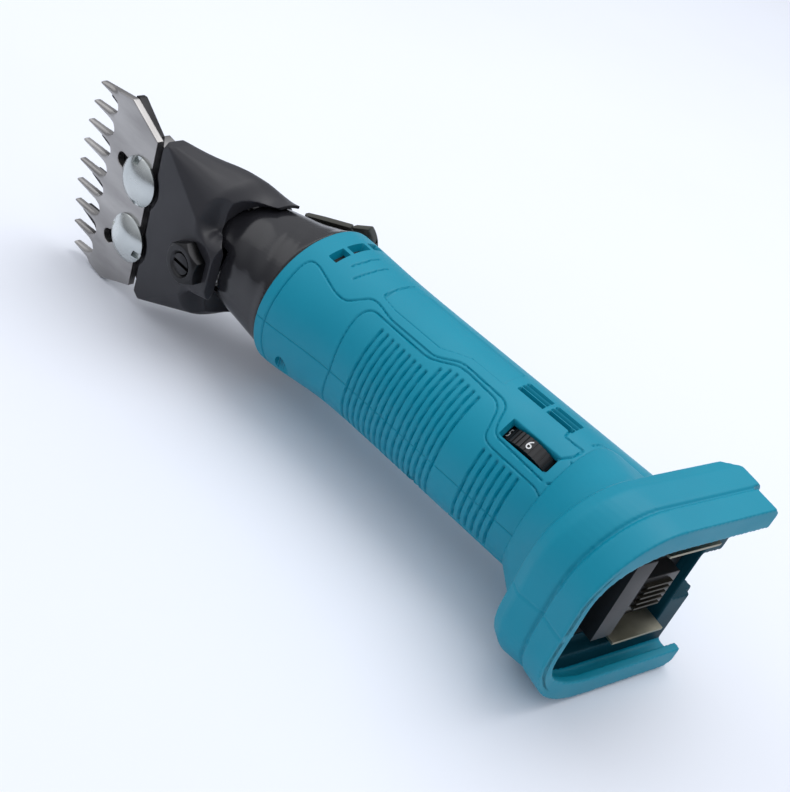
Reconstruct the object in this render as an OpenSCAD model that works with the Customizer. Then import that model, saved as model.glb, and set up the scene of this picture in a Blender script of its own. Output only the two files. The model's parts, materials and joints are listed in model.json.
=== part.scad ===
// Cordless sheep shears, lying on their side as they are put down after work.
// Working axes: x runs from the blades (negative) to the battery foot (positive) with 0 at the front edge
// of the handle, y is the tool's top side, z is across the tool with 0 on the joint of the two housing halves.

/* [Comb and cutter] */
// Half of the comb's greatest width
comb_half = 39; // [38:0.5:40]
// Distance from the front edge of the handle to the tip of the middle comb tooth
reach = 105; // [104:0.2:106]
// Number of comb teeth
comb_teeth = 9; // [9:1:9]
// Distance from tooth to tooth
tooth_pitch = 8.8; // [8.4:0.1:9]
// Length of the middle comb tooth
tooth_length = 15; // [14:0.2:15.6]
// How far the outer tips lie behind the middle one
tip_curve = 5.1; // [3:0.1:6]
// Thickness of the comb
comb_t = 3; // [2.5:0.1:3.4]
// Thickness of the cutter
cutter_t = 3.4; // [3:0.1:3.6]
// Swing of the fork and cutter to either side of the middle, in degrees
swing = 5.7; // [4:0.1:6]

/* [Head] */
// Depth of the comb's underside below the handle axis
comb_drop = 33.4; // [33:0.2:34]
// Distance from the front edge of the handle to the centre post
post_back = 33.5; // [33:0.5:34]
// Radius of the centre post
post_r = 4; // [3.5:0.25:4]
// Radius of a comb screw's domed head
screw_head_r = 9.5; // [9:0.1:10]
// Distance of each comb screw from the middle
screw_out = 12.4; // [12:0.1:13]
// Radius of the tension knob
knob_r = 10.5; // [9.5:0.5:10.5]
// Tilt of the neck below the handle axis, in degrees
neck_tilt = 14; // [13:0.1:14.5]

/* [Gears and motor] */
// Gear module
gear_module = 1; // [1:1:1]
// Teeth on the driven gear
gear_teeth = 24; // [24:1:24]
// Teeth on the motor pinion
pinion_teeth = 8; // [8:1:8]
// Offset of the crank's roller from the shaft axis
crank_throw = 1.6; // [1.2:0.1:1.7]
// Radius of the motor can
motor_r = 16; // [15:0.5:16]
// Length of the motor can
motor_length = 50; // [46:1:52]

/* [Housing] */
// Radius of the grip
grip_r = 26.6; // [26.4:0.1:27]
// Radius added to the grip at its front collar
collar_flare = 3.8; // [3:0.1:4]
// Thickness of the housing wall
wall = 2.5; // [2.2:0.1:2.6]
// Diameter of the speed dial
dial_d = 23; // [22:0.5:24]

/* [Battery foot] */
// Half of the width of the foot
foot_half = 38; // [37.5:0.5:38.5]
// Length of the foot along the battery's slide direction
foot_len = 69.5; // [68:0.5:71]
// Angle between the battery face's normal and the handle axis, in degrees
foot_tilt = 15.2; // [14:0.2:16]
// Height of the foot's skirt
foot_h = 24; // [23:0.5:25]
// Half of the opening between the two rail lips
lip_half = 29.5; // [29:0.1:30]
// Thickness of a rail lip
lip_t = 3; // [2.6:0.1:3.2]
// Depth of the slot behind a lip
slot_d = 5.2; // [5:0.1:5.5]

/* [Hidden] */

$fn = 64;
fit = 0.05;
gap = 0.3;
big = 200;

// Head stations
comb_y = -comb_drop;
comb_top = comb_y + comb_t;
root_x = -reach + tooth_length;
corner_x = -reach + 24.7;
rear_x = corner_x + 17;
rear_half = comb_half - 7.6;
root_r = 2.5;
tip_r = 0.8;
post_x = -post_back;
screw_x = post_x - 34.8;
slot_half = 3.2;
slot_run = -11.8;
slot_drift = [6.7, 2.2];
seat_r = 41.2;
seat_top = comb_top + 8;
cutter_rear_r = 42.2;
cutter_tip_x = -reach + 6.2;
cutter_pitch = 2 * tooth_pitch;
cutter_teeth = 4;
cutter_root_x = root_x + 4;
cutter_gap = 0.05;
cutter_low = comb_top + cutter_gap;
cutter_top = cutter_low + cutter_t;
claw_x = post_x - 46;
claw_z = 13;
pad_y = comb_y;
pad_front = rear_x + 3.6;
pad_half = 33;
fork_low = pad_y + 14;
fork_top = fork_low + 7;
table_y = 0.5;
knob_x = post_x - 9;
knob_top = 13;
sleeve_r = 6;

// Neck stations, measured along the tilted neck axis
neck_y = -0.5;
neck_front = -38;
neck_mid = -15;
neck_r = [29.3, 25.25, 19.04];
neck_face = -31;
neck_open = 17;
hood_t = 1.2;
neck_wall = 2.5;
hood_rear = -20;
cheek_rear = -23.5;
arch_r = 15;
arch_u = -21;
arch_angle = 36;
spigot_r = 27.4;
spigot_len = 9;
slider_u = [-22.3, -4.4];
guard_u = [-3.2, 7.5];
slider_t = 1.7;
guard_t = 2.3;
slider_lift = 0.3;
slider_half = 44;
slider_travel = 4;
tongue_u = -13;

// Drive stations
crank_y = -9;
centre_distance = gear_module * (gear_teeth + pinion_teeth) / 2;
motor_y = crank_y + centre_distance;
roller_r = 4;
roller_x = -21;
roller_len = 6;
bearing_r = 11;
bearing_w = 7;
bearing_x = -10.5;
gear_x = 0;
gear_w = 6;
fan_x = 12;
plate_x = 17.6;
plate_t = 3;
motor_x = plate_x + plate_t;
shaft_r = 1.6;

// Housing stations
flare_len = 22;
grip_end = 150;
inner_r = grip_r - wall;
vent_x = 7;
dial_x = 107.5;
dial_angle = 56;
dial_r = dial_d / 2;
dial_w = 5;
dial_centre_r = grip_r + 0.2 - dial_r;
// Each housing screw as [x, y]
screw_spots = [[13.5, -24.4], [13.5, 25.2], [78, -19.5], [78, 19.5], [134, -24], [132, 17]];
screw_boss_r = 3.2;
screw_seat_z = -6;
screw_r = 1.5;
screw_cap_r = 2.6;

// Foot stations in the foot's own axes: n along the battery face's normal, s along the slide
foot_x = 155.5;
foot_y = -45.7;
foot_corner = 28;
end_bevel = 2.5;
bulge = 2.8;
band_h = 9;
groove_h = 1.5;
groove_d = 1.2;
bay_wall = 3.7;
floor_n = -lip_t - slot_d;
pocket_n = -13;
bay_start = 10;
blade_s = [36, 58.6];
blade_n = -4.3;
blade_out = 20.3;

// Overall box, used to put the origin under the middle of the tool
foot_back_x = foot_x + foot_len * sin(foot_tilt);
slider_top = 34;
box_mid_x = (foot_back_x - reach) / 2;
box_mid_y = (foot_y + slider_top) / 2;

teal = [0.02, 0.42, 0.50];
dark_teal = [0.02, 0.36, 0.43];
casting_grey = [0.20, 0.20, 0.22];
black_gloss = [0.10, 0.10, 0.11];
black_plastic = [0.08, 0.08, 0.09];
olive_grey = [0.22, 0.22, 0.19];
zinc = [0.75, 0.77, 0.78];
steel = [0.66, 0.65, 0.63];

// Puts a piece drawn in working axes into the part's frame
module place() {
    translate([-box_mid_x, -box_mid_y, comb_half]) children();
}

// Turns what is drawn about the centre post to the fork's resting side
module swung() {
    translate([post_x, 0, 0]) rotate([0, swing, 0]) translate([-post_x, 0, 0]) children();
}

// Extrudes a drawing made in x and z from y = low to y = high
module slab(low, high) {
    translate([0, high, 0]) rotate([90, 0, 0]) linear_extrude(high - low) children();
}

// A cylinder along x, y or z between two stations
module rod_x(x0, x1, r, y = 0, z = 0) {
    translate([x0, y, z]) rotate([0, 90, 0]) cylinder(h = x1 - x0, r = r);
}
module rod_y(y0, y1, r, x = 0, z = 0) {
    translate([x, y0, z]) rotate([-90, 0, 0]) cylinder(h = y1 - y0, r = r);
}
module rod_z(z0, z1, r, x = 0, y = 0) {
    translate([x, y, z0]) cylinder(h = z1 - z0, r = r);
}

// Works along the neck's tilted axis: x along it, 0 at the front edge of the handle
module neck_axes() {
    translate([0, neck_y, 0]) rotate([0, 0, neck_tilt]) children();
}

// Works in the battery foot's axes: x is n, y is s
module foot_axes() {
    translate([foot_x, foot_y, 0]) rotate([0, 0, -foot_tilt]) children();
}

// Extrudes a drawing made in s and z from n = low to n = high
module foot_slab(low, high) {
    translate([low, 0, 0]) rotate([90, 0, 90]) linear_extrude(high - low) children();
}

// Keeps one side of the housing joint: +1 is the upper half, -1 the lower half
module half_space(side) {
    translate([-big, -big, side > 0 ? 0 : -2 * big]) cube(2 * big);
}

function tip_x(z) = -reach + tip_curve * pow(z / (4 * tooth_pitch), 2);
function tooth_z(i) = (i - (comb_teeth - 1) / 2) * tooth_pitch;
function grip_radius(x) = grip_r + collar_flare * exp(-pow(x / flare_len, 2));
function neck_radius(u) = u > neck_mid
    ? neck_r[0] + (neck_r[1] - neck_r[0]) * u / neck_mid
    : neck_r[1] + (neck_r[2] - neck_r[1]) * (u - neck_mid) / (neck_front - neck_mid);

// ---- Comb ----

// Points of one tooth, from its root on the low side round its tip to its root on the high side
function tooth_points(z) = let (root_half = tooth_pitch / 2 - root_r, steps = 8) concat(
    [[root_x, z - root_half]],
    [for (i = [0 : steps]) let (turn = 180 * i / steps)
        [tip_x(z) + tip_r - tip_r * sin(turn), z - tip_r * cos(turn)]],
    [[root_x, z + root_half]]);

// Points of the round bottom between two teeth, without its two ends
function gap_points(z) = let (steps = 10) [for (i = [1 : steps - 1]) let (turn = 180 * i / steps)
    [root_x + root_r * sin(turn), z - root_r * cos(turn)]];

module comb_plate() {
    outer_z = tooth_z(comb_teeth - 1);
    front = [for (i = [0 : comb_teeth - 1]) each concat(tooth_points(tooth_z(i)),
        i < comb_teeth - 1 ? gap_points(tooth_z(i) + tooth_pitch / 2) : [])];
    last = len(front) - 1;
    polygon(concat([for (i = [1 : last - 1]) front[i]], [[corner_x, comb_half], [rear_x, rear_half],
        [rear_x, -rear_half], [corner_x, -comb_half]]));
}

module comb_slot(side) {
    end_r = slot_half - 0.4;
    end_x = screw_x + slot_run;
    end_z = screw_out + (side > 0 ? slot_drift[1] : slot_drift[0]);
    translate([screw_x, side * screw_out]) circle(r = slot_half, $fn = 32);
    translate([end_x, side * end_z]) circle(r = end_r, $fn = 32);
    polygon([[end_x, side * (end_z - end_r)], [end_x, side * (end_z + end_r)],
        [screw_x, side * (screw_out + slot_half)], [rear_x + 1, side * (screw_out + slot_half)],
        [rear_x + 1, side * (screw_out - slot_half)], [screw_x, side * (screw_out - slot_half)]]);
}

module comb() {
    thin_tip = 2.3;
    thin_angle = atan((comb_t - thin_tip) / tooth_length);
    color(steel) difference() {
        slab(comb_y, comb_top) difference() {
            comb_plate();
            comb_slot(1);
            comb_slot(-1);
        }
        translate([root_x + 1, comb_y, -big / 2]) rotate([0, 0, -thin_angle]) translate([-40, -10, 0])
            cube([40, 10, big]);
    }
}

// ---- Cutter ----

// Points of one cutter tooth, from its root on the low side to its root on the high side
function cutter_tooth_points(z) = [[cutter_root_x, z - 5.3], [cutter_root_x - 4, z - 2.6],
    [cutter_tip_x, z - 1.2], [cutter_tip_x, z + 1.2], [cutter_root_x - 4, z + 2.6], [cutter_root_x, z + 5.3]];

module cutter_outline() {
    difference() {
        polygon(concat([[cutter_root_x, -34]],
            [for (i = [0 : cutter_teeth - 1]) each cutter_tooth_points((i - 1.5) * cutter_pitch)],
            [[cutter_root_x, 34], [corner_x - 4, 34.4], [post_x - 36.5, 27], [post_x - 30, 0],
                [post_x - 36.5, -27], [corner_x - 4, -34.4]]));
        translate([post_x, 0]) circle(r = cutter_rear_r, $fn = 128);
        for (side = [-1, 1]) for (pin = [-4, 4]) translate([claw_x, side * claw_z + pin]) circle(r = 1.5 + fit, $fn = 24);
    }
}

module cutter() {
    color(black_plastic) swung() slab(cutter_low, cutter_top) cutter_outline();
}

// ---- Comb screws ----

module screw_dome() {
    rise = 3.6;
    rim = 0.9;
    ball_r = (pow(screw_head_r, 2) + pow(rise, 2)) / (2 * rise);
    steps = 12;
    sweep = asin(screw_head_r / ball_r);
    rotate_extrude() polygon(concat([[0, 0], [screw_head_r, 0]],
        [for (i = [steps : -1 : 0]) [ball_r * sin(sweep * i / steps),
            rim + rise - ball_r + ball_r * cos(sweep * i / steps)]]));
}

module comb_screw(side, notch_angle) {
    translate([screw_x, comb_y, side * screw_out]) rotate([90, 0, 0]) difference() {
        union() {
            screw_dome();
            translate([0, 0, -comb_t - 7]) cylinder(h = comb_t + 7.1, r = 3 - fit);
        }
        for (turn = [0, 180]) rotate([0, 0, notch_angle + turn]) translate([screw_head_r - 2.6, -1.5, 0.6])
            cube([5, 3, 6]);
    }
}

module comb_screws() {
    color(zinc) {
        comb_screw(1, 102);
        comb_screw(-1, 162);
    }
}

// ---- Head casting ----

module pad_outline() {
    difference() {
        polygon([[pad_front, -pad_half + 2], [pad_front + 2.5, -pad_half], [pad_front + 5, -pad_half],
            [-24.5, -7.5], [-21.5, -4.5], [-21.5, 4.5], [-24.5, 7.5], [pad_front + 5, pad_half],
            [pad_front + 2.5, pad_half], [pad_front, pad_half - 2]]);
        for (side = [-1, 1]) translate([screw_x, side * screw_out]) circle(r = screw_head_r + 1.4, $fn = 48);
    }
}

module head_shell() {
    hull() {
        slab(pad_y, pad_y + 1) polygon([[pad_front, -pad_half + 2], [pad_front + 3, -pad_half],
            [-24.5, -7.5], [-21.5, -4.5], [-21.5, 4.5], [-24.5, 7.5], [pad_front + 3, pad_half],
            [pad_front, pad_half - 2]]);
        translate([pad_front, pad_y + 2, -pad_half - 0.6]) cube([4, 6, 2 * pad_half + 1.2]);
        translate([-50, -19, -29.5]) cube([4, 2, 59]);
        neck_axes() translate([neck_front + 2, 0, 0]) rotate([0, 90, 0])
            cylinder(h = hood_rear - neck_front - 2, r1 = neck_radius(neck_front + 2) + hood_t, r2 = neck_radius(hood_rear) + hood_t);
    }
}

module seat_bar() {
    slab(comb_top, seat_top) intersection() {
        translate([post_x, 0]) circle(r = seat_r, $fn = 128);
        polygon([[-90, -38], [pad_front - 1, -31], [pad_front + 6, -31], [pad_front + 6, 31],
            [pad_front - 1, 31], [-90, 38]]);
    }
}

// The chamber that the fork swings in, open to the front
module fork_chamber() {
    slab(pad_y + 5, table_y - 4.5) polygon([[pad_front + 5, -28], [-46, -22], [neck_front, -17],
        [-20, -17], [-20, 17], [neck_front, 17], [-46, 22], [pad_front + 5, 28]]);
    slab(seat_top, 60) polygon([[-90, -29], [-57, -29], [-52.5, -24], [-52.5, 24], [-57, 29], [-90, 29]]);
    neck_axes() rod_x(neck_front - 6, 0, neck_open);
}

module head_casting() {
    color(casting_grey) difference() {
        union() {
            difference() {
                head_shell();
                slab(pad_y - 1, pad_y + 3.5) for (side = [-1, 1]) translate([screw_x, side * screw_out])
                    circle(r = screw_head_r + 1.4, $fn = 48);
                fork_chamber();
                rod_y(table_y, 60, knob_r + 1.5, knob_x);
                slab(table_y, 60) polygon([[-70, -knob_r - 1.5], [knob_x, -knob_r - 1.5],
                    [knob_x, knob_r + 1.5], [-70, knob_r + 1.5]]);
            }
            seat_bar();
        }
        neck_axes() {
            translate([neck_front, 0, 0]) rotate([0, 90, 0])
                cylinder(h = -neck_front, r1 = neck_radius(neck_front) + fit, r2 = neck_r[0] + fit);
            for (side = [-1, 1]) rotate([90 - side * (90 - arch_angle), 0, 0]) {
                translate([arch_u, 0, 8]) cylinder(h = 40, r = arch_r);
                translate([arch_u, -arch_r, 8]) cube([40, 2 * arch_r, 40]);
            }
        }
        translate([cheek_rear, -60, -60]) cube(120);
        translate([neck_face, 4, -60]) cube(120);
        for (side = [-1, 1]) rod_y(comb_y, comb_top + 7.2, 3, screw_x, side * screw_out);
        rod_y(pad_y - 1, pad_y + 8, post_r + fit, post_x);
        rod_y(table_y - 9, table_y + 1, sleeve_r, knob_x);
    }
}

// ---- Fork, claws and centre post ----

module fork_outline() {
    translate([post_x, 0]) circle(r = 8.5);
    polygon([[post_x, -8.5], [post_x, 8.5], [-58, 8], [-76, 16.5], [claw_x - 3.5, 16.5], [claw_x - 3.5, 9.5],
        [-75, 8.5], [-64, 2.5], [-64, -2.5], [-75, -8.5], [claw_x - 3.5, -9.5], [claw_x - 3.5, -16.5],
        [-76, -16.5], [-58, -8]]);
}

module fork_prongs() {
    prong_in = roller_r + 3.6;
    for (side = [-1, 1]) translate([roller_x - 1, fork_low, side > 0 ? prong_in : -prong_in - 3])
        cube([roller_len + 1, crank_y + 6 - fork_low, 3]);
    translate([post_x, fork_low, -prong_in - 3]) cube([roller_x - post_x + 1, 4, 2 * prong_in + 6]);
}

module fork() {
    color(steel) swung() difference() {
        union() {
            slab(fork_low, fork_top) fork_outline();
            slab(seat_top + 0.6, fork_low + 0.5) for (side = [-1, 1])
                translate([claw_x - 3.5, side > 0 ? 9.5 : -16.5]) square([6, 7]);
            fork_prongs();
        }
        rod_y(fork_low - 1, fork_low + 5, post_r + fit, post_x);
        rod_y(fork_top - 1.2, fork_top + 1, 4.9, knob_x);
    }
}

module claws() {
    color(steel) swung() for (side = [-1, 1]) {
        translate([claw_x - 3.5, cutter_top, side * claw_z - 6]) cube([7, seat_top + 0.6 - cutter_top, 12]);
        for (pin = [-4, 4]) rod_y(cutter_top - 2.4, cutter_top + 0.5, 1.5, claw_x, side * claw_z + pin);
    }
}

module centre_post() {
    color(steel) difference() {
        union() {
            rod_y(pad_y - 4.6, fork_low + 4.6, post_r, post_x);
            rod_y(fork_low - 3, fork_low - gap, 7, post_x);
        }
        translate([post_x - 6, pad_y - 5.6, -0.7]) cube([12, 2.2, 1.4]);
    }
}

module lock_nut() {
    flat = 7.5;
    height = 5.2;
    color(black_plastic) difference() {
        translate([post_x, pad_y - height, 0]) rotate([-90, 0, 0]) rotate([0, 0, 30]) intersection() {
            cylinder(h = height, r = flat / cos(30), $fn = 6);
            union() {
                cylinder(h = 1.6, r1 = flat - 0.4, r2 = flat / cos(30) + 0.1);
                translate([0, 0, 1.6]) cylinder(h = height, r = flat / cos(30) + 0.1);
            }
        }
        rod_y(pad_y - height - 1, pad_y + 1, post_r + fit, post_x);
        translate([post_x, pad_y - height - 0.01, 0]) rotate([-90, 0, 0]) cylinder(h = 1.4, r1 = 5.2, r2 = post_r);
    }
}

// ---- Tension adjuster ----

module tension_sleeve() {
    color(steel) difference() {
        rod_y(table_y - 4.5, knob_top - 5, sleeve_r, knob_x);
        rod_y(table_y - 5, knob_top, 3.4, knob_x);
    }
}

module tension_pin() {
    color(steel) {
        rod_y(fork_top - 0.9, table_y - 5, 3.2, knob_x);
        rod_y(table_y - 5.5, knob_top - 6, 1.5, knob_x);
    }
}

module tension_spring() {
    coil_r = 2.45;
    wire_r = 0.45;
    turns = 8;
    sides = 6;
    rings = turns * 12;
    low = table_y - 4.4;
    high = knob_top - 4.2;
    color(steel) translate([knob_x, 0, 0]) polyhedron(
        points = [for (i = [0 : rings]) for (k = [0 : sides - 1])
            let (turn = 360 * turns * i / rings, a = 360 * k / sides, r = coil_r + wire_r * cos(a))
            [r * cos(turn), low + (high - low) * i / rings + wire_r * sin(a), r * sin(turn)]],
        faces = concat([[for (k = [0 : sides - 1]) k]],
            [for (i = [0 : rings - 1]) for (k = [0 : sides - 1])
                [i * sides + k, (i + 1) * sides + k, (i + 1) * sides + (k + 1) % sides, i * sides + (k + 1) % sides]],
            [[for (k = [sides - 1 : -1 : 0]) rings * sides + k]]));
}

module tension_knob() {
    lobes = 10;
    color(black_plastic) difference() {
        rod_y(table_y + gap, knob_top, knob_r, knob_x);
        rod_y(table_y - 1, knob_top - 3.2, sleeve_r + fit, knob_x);
        for (i = [0 : lobes - 1]) translate([knob_x, 0, 0]) rotate([0, 360 * i / lobes, 0])
            rod_y(table_y - 1, knob_top + 1, 1.3, knob_r + 0.5);
    }
}

// ---- Crank, bearings and gears ----

module crank_shaft() {
    color(steel) {
        rod_x(roller_x, -11.5, 2, crank_y, -crank_throw);
        rod_x(-13.5, -11.5, 6.5, crank_y);
        rod_x(-11.6, plate_x + plate_t - 0.5, 4, crank_y);
    }
}

module crank_roller() {
    color(steel) difference() {
        rod_x(roller_x + gap, roller_x + roller_len, roller_r, crank_y, -crank_throw);
        rod_x(roller_x - 1, roller_x + roller_len + 1, 2, crank_y, -crank_throw);
    }
}

module ball_bearing(x, y) {
    race = 2.2;
    balls = 8;
    mid_r = (bearing_r + 4) / 2;
    difference() {
        rod_x(x, x + bearing_w, bearing_r, y);
        rod_x(x - 1, x + bearing_w + 1, bearing_r - race, y);
    }
    difference() {
        rod_x(x, x + bearing_w, 4 + race, y);
        rod_x(x - 1, x + bearing_w + 1, 4 + fit, y);
    }
    for (i = [0 : balls - 1]) translate([x + bearing_w / 2, y + mid_r * cos(360 * i / balls),
        mid_r * sin(360 * i / balls)]) sphere(r = 1.25, $fn = 24);
}

module front_bearing() {
    color(steel) ball_bearing(bearing_x, crank_y);
}

module rear_bearing() {
    color([0.72, 0.55, 0.28]) difference() {
        rod_x(plate_x, plate_x + plate_t, 6, crank_y);
        rod_x(plate_x - 1, plate_x + plate_t + 1, 4 + fit, crank_y);
    }
}

// A spur gear with straight-sided teeth; turn puts a tooth or a space at the top
module spur_gear(count, width, bore_r, turn) {
    pitch_r = gear_module * count / 2;
    tip = pitch_r + gear_module * 0.85;
    root = pitch_r - gear_module * 1.15;
    tooth_half = 360 / count / 4;
    rotate([0, 90, 0]) rotate([0, 0, turn]) linear_extrude(width) difference() {
        polygon([for (i = [0 : count - 1]) for (p = [[root, -1.42], [pitch_r, -0.86], [tip, -0.42],
            [tip, 0.42], [pitch_r, 0.86], [root, 1.42]])
            [p[0] * cos(360 * i / count + tooth_half * p[1]), p[0] * sin(360 * i / count + tooth_half * p[1])]]);
        circle(r = bore_r);
    }
}

module driven_gear() {
    color(steel) translate([gear_x, crank_y, 0]) difference() {
        spur_gear(gear_teeth, gear_w, 4, 90);
        for (i = [0 : 5]) rotate([60 * i, 0, 0]) rod_x(-1, gear_w + 1, 1.5, 7.4);
    }
}

module motor_pinion() {
    color(steel) translate([gear_x - 0.5, motor_y, 0]) spur_gear(pinion_teeth, gear_w + 1.5, shaft_r, 90 + 180 / pinion_teeth);
}

module bearing_plate() {
    color(zinc) difference() {
        union() {
            rod_x(bearing_x, bearing_x + 4, 22.8, -3);
            rod_x(bearing_x, bearing_x + bearing_w, bearing_r + 2.5, crank_y);
        }
        rod_x(bearing_x - 1, bearing_x + bearing_w + 1, bearing_r, crank_y);
    }
}

// ---- Neck ----

module neck_solid(inset) {
    neck_axes() {
        translate([neck_front, 0, 0]) rotate([0, 90, 0])
            cylinder(h = neck_mid - neck_front, r1 = neck_r[2] - inset, r2 = neck_r[1] - inset);
        translate([neck_mid, 0, 0]) rotate([0, 90, 0])
            cylinder(h = -neck_mid + 8, r1 = neck_r[1] - inset, r2 = neck_radius(8) - inset);
    }
}

module neck_cover() {
    color(black_gloss) difference() {
        union() {
            difference() {
                neck_solid(0);
                translate([-1, -60, -60]) cube(120);
            }
            rod_x(-1.5, spigot_len, spigot_r);
        }
        difference() {
            neck_solid(neck_wall);
            translate([-6, -60, -60]) cube(120);
        }
        rod_x(-7, spigot_len + 1, 24.6, -0.6);
        translate([neck_face - 40, -13, -40]) cube([40, 80, 80]);
        translate([neck_face - 40, -60, -9]) cube([47, 40, 18]);
        neck_axes() {
            rod_x(neck_front - 1, neck_front + 9, neck_open);
            translate([tongue_u - slider_travel - gap, 19, -2.4 - gap])
                cube([slider_travel + 2.6 + 2 * gap, 14, 4.8 + 2 * gap]);
        }
    }
}

module neck_seal() {
    color(black_plastic) difference() {
        rod_x(-1, 0, 29.3);
        rod_x(-2, 1, spigot_r);
    }
}

// A strip of shell wrapped over the top of the neck, made in the neck's axes
module neck_strip(u0, u1, lift, thick, half_angle) {
    rotate([0, 90, 0]) rotate([0, 0, 90 - half_angle]) rotate_extrude(angle = 2 * half_angle)
        polygon(concat([[neck_radius(u0) + lift, u0], [neck_radius(u0) + lift + thick - 0.8, u0],
            [neck_radius(u0) + lift + thick, u0 + 1]],
            u0 < neck_mid ? [[neck_r[1] + lift + thick, neck_mid]] : [],
            [[neck_radius(u1) + lift + thick, u1], [neck_radius(u1) + lift, u1]],
            u0 < neck_mid ? [[neck_r[1] + lift, neck_mid]] : []));
}

module power_slider() {
    color(olive_grey) neck_axes() {
        neck_strip(slider_u[0], slider_u[1], slider_lift, slider_t, slider_half);
        translate([tongue_u, 18, -2.4]) cube([2.6, 8.6, 4.8]);
    }
}

module slider_guard() {
    color(olive_grey) difference() {
        neck_axes() neck_strip(guard_u[0], guard_u[1], fit, guard_t, slider_half);
        translate([-0.3, -60, -60]) cube(120);
    }
}

module power_switch() {
    color(black_plastic) neck_axes() difference() {
        translate([tongue_u - slider_travel - 2.5, 12, -5.5]) cube([10, 8, 11]);
        translate([tongue_u - slider_travel - gap, 17, -2.4 - gap])
            cube([slider_travel + 2.6 + 2 * gap, 5, 4.8 + 2 * gap]);
    }
}

// ---- Motor ----

module motor_plate() {
    color(zinc) difference() {
        rod_x(plate_x, plate_x + plate_t, 24);
        rod_x(plate_x - 1, plate_x + plate_t + 1, 6, crank_y);
        rod_x(plate_x - 1, plate_x + plate_t + 1, 3.4, motor_y);
        for (spot = screw_spots) rod_z(-40, 40, screw_boss_r + 0.8, spot[0], spot[1]);
    }
}

module motor_can() {
    color([0.55, 0.56, 0.58]) difference() {
        union() {
            rod_x(motor_x, motor_x + motor_length, motor_r, motor_y);
            rod_x(motor_x + motor_length - 0.1, motor_x + motor_length + 4, 5, motor_y);
        }
        rod_x(motor_x - 1, motor_x + motor_length + 5, shaft_r + fit, motor_y);
        for (i = [0 : 3]) translate([0, motor_y, 0]) rotate([45 + 90 * i, 0, 0])
            translate([motor_x + motor_length - 4, 7, -2.5]) cube([6, 5, 5]);
    }
}

module motor_shaft() {
    color(steel) rod_x(gear_x - 1, motor_x + motor_length + 3, shaft_r, motor_y);
}

module cooling_fan() {
    blades = 9;
    color(black_plastic) translate([fan_x, motor_y, 0]) difference() {
        union() {
            rod_x(0, 4.6, 4);
            rod_x(3.8, 4.6, 11);
            for (i = [0 : blades - 1]) rotate([360 * i / blades, 0, 0]) translate([0, 3, -0.6]) cube([4.2, 7.5, 1.2]);
        }
        rod_x(-1, 6, shaft_r);
    }
}

// ---- Housing ----

module grip_solid() {
    steps = 10;
    rotate([0, 90, 0]) rotate_extrude() polygon(concat([[0, 0], [grip_radius(0) - 0.8, 0]],
        [for (i = [0 : steps]) let (x = 0.8 + (2.4 * flare_len - 0.8) * i / steps) [grip_radius(x), x]],
        [[grip_r, grip_end], [0, grip_end]]));
}

module foot_outline(inset, length) {
    r = foot_corner - inset;
    half = foot_half - inset;
    for (side = [-1, 1]) translate([foot_corner, side * (foot_half - foot_corner)]) circle(r = r);
    translate([inset, -(foot_half - foot_corner)]) square([length - inset, 2 * (foot_half - foot_corner)]);
    polygon([[foot_corner, -half], [length - end_bevel, -half], [length, -half + end_bevel],
        [length, half - end_bevel], [length - end_bevel, half], [foot_corner, half]]);
}

// Outer form of the foot: rim band, step groove, bulging skirt and the flare into the grip
module foot_solid() {
    foot_axes() {
        foot_slab(-band_h, 0) foot_outline(0, foot_len);
        foot_slab(-band_h - groove_h, -band_h) foot_outline(groove_d, foot_len);
        difference() {
            hull() {
                foot_slab(-band_h - groove_h - 1, -band_h - groove_h) foot_outline(0.3, foot_len + 3);
                foot_slab(-foot_h + 5, -foot_h + 6) translate([-bulge, 0]) foot_outline(0.3, foot_len + 3 + bulge);
                foot_slab(-foot_h + 1, -foot_h + 2) translate([-bulge, 0]) foot_outline(1.5, foot_len + bulge);
                foot_slab(-foot_h - 0.5, -foot_h) translate([-bulge, 0]) foot_outline(4, foot_len);
            }
            translate([-foot_h, foot_len - 5.5, -50]) rotate([0, 0, 48]) translate([-20, 0, 0]) cube([40, 20, 100]);
        }
    }
    hull() {
        foot_axes() foot_slab(-foot_h - 0.5, -foot_h) {
            for (side = [-1, 1]) translate([28, side * 10]) circle(r = 22);
            translate([41, 0]) circle(r = grip_r - 0.4);
        }
        rod_x(120, 121, grip_r - 0.1);
    }
}

// Everything hollow inside the housing
module housing_hollow() {
    difference() {
        union() {
            rod_x(-1, spigot_len + 0.2, spigot_r + fit);
            rod_x(spigot_len, plate_x - 1, 25.2);
            rod_x(plate_x - 1.1, 146, inner_r);
        }
        for (spot = screw_spots) rod_z(-40, 40, screw_boss_r, spot[0], spot[1]);
        difference() {
            rod_x(motor_x + plate_t, motor_x + plate_t + 2.4, inner_r + 1);
            rod_x(motor_x, motor_x + 10, motor_r + 0.2, motor_y);
        }
        difference() {
            rod_x(motor_x + motor_length - 6, motor_x + motor_length - 3.6, inner_r + 1);
            rod_x(motor_x, motor_x + motor_length, motor_r + 0.2, motor_y);
        }
    }
    foot_axes() {
        translate([-foot_h + 3, 16, -24]) cube([foot_h - 3 + pocket_n + 0.1, 44, 48]);
        foot_slab(pocket_n, floor_n + 0.1) translate([16, -26]) square([44, 52]);
    }
}

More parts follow.
